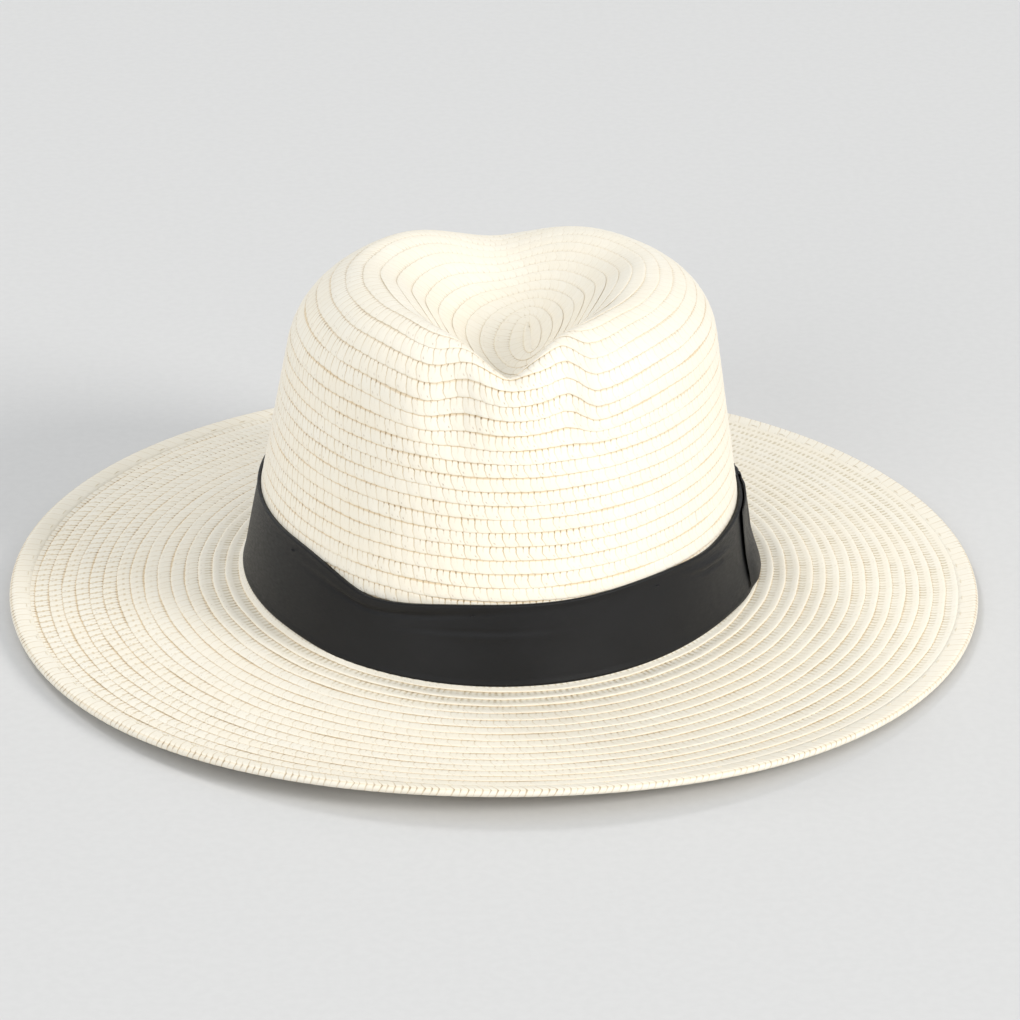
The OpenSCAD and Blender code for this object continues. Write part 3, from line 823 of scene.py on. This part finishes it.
def band_tacks(material):
    """Short black stitches that hold the band's upper hem to the straw."""
    runs = []
    for degrees in (-150, -100, -55, 50, 95, 145):
        t = math.radians(degrees) + np.linspace(0, math.radians(1.4), 5)
        k = np.full(5, 0.86)
        rise = np.array([-0.25, 0.12, 0.2, 0.12, -0.25])
        s = band_low(t) + (band_top(t) - band_low(t)) * k
        runs.append(crown_off(s, t, band_relief(k, t) + rise))
    return thread_runs("band_tack_threads", runs, 0.22, "black_thread", material, "band_tacks")


# The bow's layers, from the band outwards: keeper, under loop, upper loop, keeper again.
BOW_T = math.radians(10)             # turn round the crown of the bow's middle
BOW_THICK, LOOP_GAP = 0.3, 0.1
BOW_LEN, BOW_H, BOW_LOW, BOW_FLARE = 86, 27, 0.3, 2.1
KEEPER_IN = BAND_OUT + 0.1
UNDER_IN = KEEPER_IN + BOW_THICK + 0.1
UNDER_MID = UNDER_IN + BOW_THICK + LOOP_GAP
UPPER_IN = UNDER_MID + BOW_THICK + 0.1
UPPER_MID = UPPER_IN + BOW_THICK + LOOP_GAP
KEEPER_OUT = UPPER_MID + BOW_THICK + 0.1


def bow_turn(u, k):
    """Turn round the crown of a point u along the bow; its front end slants forward lower down."""
    return BOW_T + u * (1 + np.where(u < 0, 0.12, 0.0) * (1 - k)) / HEAD_B


def bow_way(k, u, trim):
    """Way up the crown for k from 0 to 1 up the bow, which is gathered at its middle."""
    half = (BOW_H / 2 - trim) * (0.80 + 0.20 * smooth(np.abs(u), 4, 24))
    return BOW_LOW + BOW_H / 2 + half * (2 * k - 1)


def flare_at(k, u):
    """How far the upper loop's ends leave the band: a dip at the waist, a flare lower down."""
    far = np.abs(u) / (BOW_LEN / 2)
    end = smooth(far, 0.82, 1)
    flare = BOW_FLARE * (1 - 0.5 * end) * (1 - smooth(k, 0.05, 0.48)) * smooth(far, 0.2, 0.62)
    dip = 0.7 * (1 - 0.9 * end) * np.exp(-((k - 0.64) / 0.2) ** 2) * smooth(far, 0.5, 0.6)
    return (flare - dip) * np.where(u < 0, 1.0, 0.6)


def loop_line(k, half, off0, off1):
    """Outline of a flat loop: along it and off the band, for k from 0 to 1 round it."""
    a = 2 * math.pi * k
    q = np.sign(np.cos(a)) * np.abs(np.cos(a)) ** 0.8
    return half * q, (off0 + off1) / 2 + (off1 - off0) / 2 * np.sin(a)


def bow_loop(name, node, length, off0, off1, trim, flared, material):
    """A ribbon closed on itself and held flat at its middle, with its ends a little open."""
    n, m = 200, 30
    k = (np.arange(n) + 0.5) / n
    up = np.linspace(0, 1, m)
    faces = []
    for grow in (BOW_THICK, 0.0):
        u, off = loop_line(k, length / 2 + grow, off0 - grow, off1 + grow)
        U, K = np.meshgrid(u, up, indexing="ij")
        off = np.broadcast_to(off[:, None], U.shape)
        if flared:
            off = off + flare_at(K, U)
        ripple = 0.05 * np.sin(9 * K + 0.2 * U) * smooth(np.abs(U), 8, 30)
        faces.append(crown_off(bow_way(K, U, trim), bow_turn(U, K), off + ripple))
    way = k * 2 * length
    cloth = np.stack([np.broadcast_to(way[:, None], U.shape), K * BOW_H, 0 * U], axis=-1)
    ob = cloth_strip(name, faces[0], faces[1], cloth)
    add_piece(ob, "band_cloth", material, node)
    return ob


def bow_keeper(material):
    """The short strip wrapped round the middle of both loops, pleated lengthways."""
    n, m = 120, 20
    k = (np.arange(n) + 0.5) / n
    a = 2 * math.pi * k
    c = np.sign(np.cos(a)) * np.abs(np.cos(a)) ** 0.4
    d = np.sign(np.sin(a)) * np.abs(np.sin(a)) ** 0.4
    u = np.linspace(-6.5, 6.5, m)
    half, mid = BOW_H / 2 * 0.84 + 0.4, BOW_LOW + BOW_H / 2
    off = (KEEPER_IN + BOW_THICK + KEEPER_OUT) / 2
    depth = (KEEPER_OUT - KEEPER_IN - BOW_THICK) / 2
    pleat = 0.22 * np.cos(u * 2 * math.pi / 4.4) * smooth(d, 0.2, 0.9)[:, None]
    faces = []
    for grow in (BOW_THICK, 0.0):
        s = mid + (half + grow) * c
        o = off + (depth + grow) * d
        faces.append(crown_off(s[:, None], bow_turn(u, 1.0)[None], o[:, None] + pleat))
    way = np.broadcast_to((k * 4 * half)[:, None], (n, m))
    cloth = np.stack([way, np.broadcast_to(u, (n, m)), 0 * way], axis=-1)
    ob = cloth_strip("bow_keeper_cloth", faces[0], faces[1], cloth)
    add_piece(ob, "band_cloth", material, "bow_keeper")
    return ob


SWEAT_OUT, SWEAT_IN = 2.0, 2.8       # how far its two faces lie inside the crown's outer face


def sweatband(material):
    """The ribbon inside the head opening, a little slack between its stitches."""
    n, m = 480, 24
    T, K = np.meshgrid(np.arange(n) * 2 * math.pi / n, np.linspace(0, 1, m), indexing="ij")
    S = -1 + 28 * K
    hem = 0.2 * smooth(K, 0.90, 0.94) * (1 - smooth(K, 0.985, 1.0))
    slack = 0.18 * np.sin(17 * T) * np.sin(5 * T + 1) * smooth(K, 0.2, 1)
    outer = crown_off(S, T, np.full_like(S, -SWEAT_OUT))
    inner = crown_off(S, T, -SWEAT_IN - hem - np.maximum(slack, -0.1))
    cloth = np.stack([(HEAD_A + HEAD_B) / 2 * T, S, 0 * S], axis=-1)
    ob = cloth_strip("sweatband_cloth", outer, inner, cloth)
    add_piece(ob, "sweatband_cloth", material, "sweatband")
    return ob


def sweatband_tape(material):
    """The short tape over the sweatband's butt joint, at the back."""
    n, m = 24, 40
    T, S = np.meshgrid(math.pi / 2 + np.radians(np.linspace(-4, 4, n)),
                       np.linspace(0.5, 26.5, m), indexing="ij")
    hem = 0.12 * smooth(np.abs(np.degrees(T) - 90), 3.0, 3.5)
    outer = crown_off(S, T, np.full_like(S, -SWEAT_IN - 0.35))
    inner = crown_off(S, T, -SWEAT_IN - 0.85 - hem)
    cloth = np.stack([(T - math.pi / 2) * HEAD_B, S, 0 * S], axis=-1)
    ob = cloth_strip("sweatband_joint_tape", outer, inner, cloth, closed=False)
    add_piece(ob, "sweatband_tape", material, "sweatband_tape")
    return ob


def sweatband_stitches(material):
    """A ring of stitches at the head line, left out where the cover tape is."""
    runs = []
    for j in range(60):
        degrees = 6 * (j + 0.5)
        if abs((degrees - 90 + 180) % 360 - 180) > 8:
            t = np.radians(degrees + np.linspace(0, 2, 7))
            rise = 0.3 * np.sin(np.linspace(0, math.pi, 7)) - 0.12
            runs.append(crown_off(np.full(7, 1.2), t, -SWEAT_IN - 0.05 - rise))
    return thread_runs("sweatband_threads", runs, 0.22, "thread", material, "sweatband_stitching")


def edge_stitches(material):
    """A ring of small stitches through the upper face of the folded edge."""
    runs = []
    for j in range(80):
        t = 2 * math.pi * j / 80 + np.radians(np.linspace(0, 1.1, 7))
        rise = 0.16 * np.sin(np.linspace(0, math.pi, 7)) - 0.1
        p = brim_mid(np.full(7, 1 - 4.9 / BRIM_W), t)
        runs.append(p + np.stack([0 * t, 0 * t, 1.30 + rise], axis=-1))
    return thread_runs("edge_threads", runs, 0.14, "thread", material, "edge_stitching")


# ---- the studio ----


FLOOR_DARK = (0.662, 0.658, 0.652, 1.0)
FLOOR_LIGHT = (0.677, 0.673, 0.667, 1.0)
SKY_COLOUR = (0.955, 0.98, 1.0, 1.0)


def floor_material():
    """Plain matt grey with a trace of grain."""
    k = Nodes("floor")
    place = k.put("ShaderNodeTexCoord").outputs["Object"]
    grain = k.noise(place, 300.0, 2.0)
    colour = k.mix(k.ramp(grain, 0.3, 0.7), FLOOR_DARK, FLOOR_LIGHT)
    k.feed(k.shader.inputs["Base Color"], colour)
    return k.finish(Roughness=0.95, Specular_IOR_Level=0.05)


def add_floor():
    """The ground, a hair under the hat."""
    bpy.ops.mesh.primitive_plane_add(size=12, location=(0, 0, -0.0003))
    floor = bpy.context.object
    floor.name = "floor"
    floor.data.materials.append(floor_material())


def add_light(name, place, target, size, watts, colour):
    """A round soft light at a place, aimed at a target."""
    data = bpy.data.lights.new(name, "AREA")
    data.shape = "DISK"
    data.size = size
    data.energy = watts
    data.color = colour
    ob = bpy.data.objects.new(name, data)
    ob.location = place
    ob.rotation_euler = (Vector(target) - Vector(place)).to_track_quat("-Z", "Y").to_euler()
    bpy.context.scene.collection.objects.link(ob)


CAMERA_TURN, CAMERA_RISE = math.radians(-3.056), math.radians(22.806)
CAMERA_TARGET, CAMERA_DISTANCE = Vector((0, 0, 0.055)), 1.8
AIM_RIGHT, AIM_DOWN = 0.003158, 0.01294
LENS_MM, SENSOR_MM = 182.83, 36


def add_camera():
    """Long lens from 1.8 m, a little to the left of the front and 23 degrees up."""
    az, el = CAMERA_TURN, CAMERA_RISE
    ahead = Vector((-math.sin(az) * math.cos(el), math.cos(az) * math.cos(el), -math.sin(el)))
    right = Vector((math.cos(az), math.sin(az), 0))
    up = right.cross(ahead)
    data = bpy.data.cameras.new("camera")
    data.sensor_width = SENSOR_MM
    data.lens = LENS_MM
    data.clip_start, data.clip_end = 0.05, 50
    cam = bpy.data.objects.new("camera", data)
    cam.location = CAMERA_TARGET - ahead * CAMERA_DISTANCE
    aim = ahead + right * AIM_RIGHT - up * AIM_DOWN
    cam.rotation_euler = aim.to_track_quat("-Z", "Y").to_euler()
    bpy.context.scene.collection.objects.link(cam)
    bpy.context.scene.camera = cam


def add_world(strength):
    """Even light from all round."""
    world = bpy.data.worlds.new("studio")
    world.use_nodes = True
    back = world.node_tree.nodes["Background"]
    back.inputs["Color"].default_value = SKY_COLOUR
    back.inputs["Strength"].default_value = strength
    bpy.context.scene.world = world


# ---- everything together ----
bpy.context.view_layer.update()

add_camera()
add_floor()
add_world(0.65)
add_light("key", (4.8, -3.4, 2.9), (0, 0, 0.05), 2.4, 256, (1.0, 0.985, 0.955))
add_light("fill", (-3.3, -5.6, 2.6), (0, 0, 0.05), 4.2, 150, (0.98, 0.99, 1.0))
add_light("back", (-2.4, 3.3, 4.5), (0, 0, 0.0), 1.5, 72, (1.0, 1.0, 1.0))
bpy.context.scene.view_settings.view_transform = "Standard"

straw = straw_material()
crown_names = ["crown_tip", "crown_side_high", "crown_side_low"]
brim_names = ["brim_inner", "brim_middle", "brim_outer"]
crown_pieces, cells = braid(crown_names, FIRST_ROW, CROWN_ROWS)
brim_pieces, cells = braid(brim_names, CROWN_ROWS, LAST_ROW, cells)
for piece in crown_pieces:
    add_piece(piece, "straw", straw, "crown")
for piece in brim_pieces:
    add_piece(piece, "straw", straw, "brim")

cream_thread = thread_material("cream_thread", srgb(226, 214, 188), srgb(247, 240, 224))
black_thread = thread_material("black_thread", srgb(16, 16, 18), srgb(58, 58, 60))
black_cloth = cloth_material("black_cloth", srgb(11, 11, 12), srgb(23, 23, 25),
                             2.4, 0.00006, 0.45, 0.0)
lining_cloth = cloth_material("lining_cloth", srgb(196, 178, 146), srgb(226, 212, 184),
                              1.6, 0.00012, 0.7, 0.1)
tape_cloth = cloth_material("tape_cloth", srgb(186, 160, 118), srgb(214, 192, 152),
                            1.2, 0.00015, 0.7, 0.1)

brim_edge("brim_edge_braid", straw)
edge_stitches(cream_thread)
hat_band(black_cloth)
band_tacks(black_thread)
bow_loop("bow_loop_under", "bow_under_loop", BOW_LEN * 0.46, UNDER_IN + BOW_THICK, UNDER_MID,
         1, False, black_cloth)
bow_loop("bow_loop_upper", "bow_upper_loop", BOW_LEN, UPPER_IN + BOW_THICK, UPPER_MID,
         0, True, black_cloth)
bow_keeper(black_cloth)
sweatband(lining_cloth)
sweatband_tape(tape_cloth)
sweatband_stitches(cream_thread)

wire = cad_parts["edge_wire"]
wire.data.materials.clear()
wire.data.materials.append(wire_material())
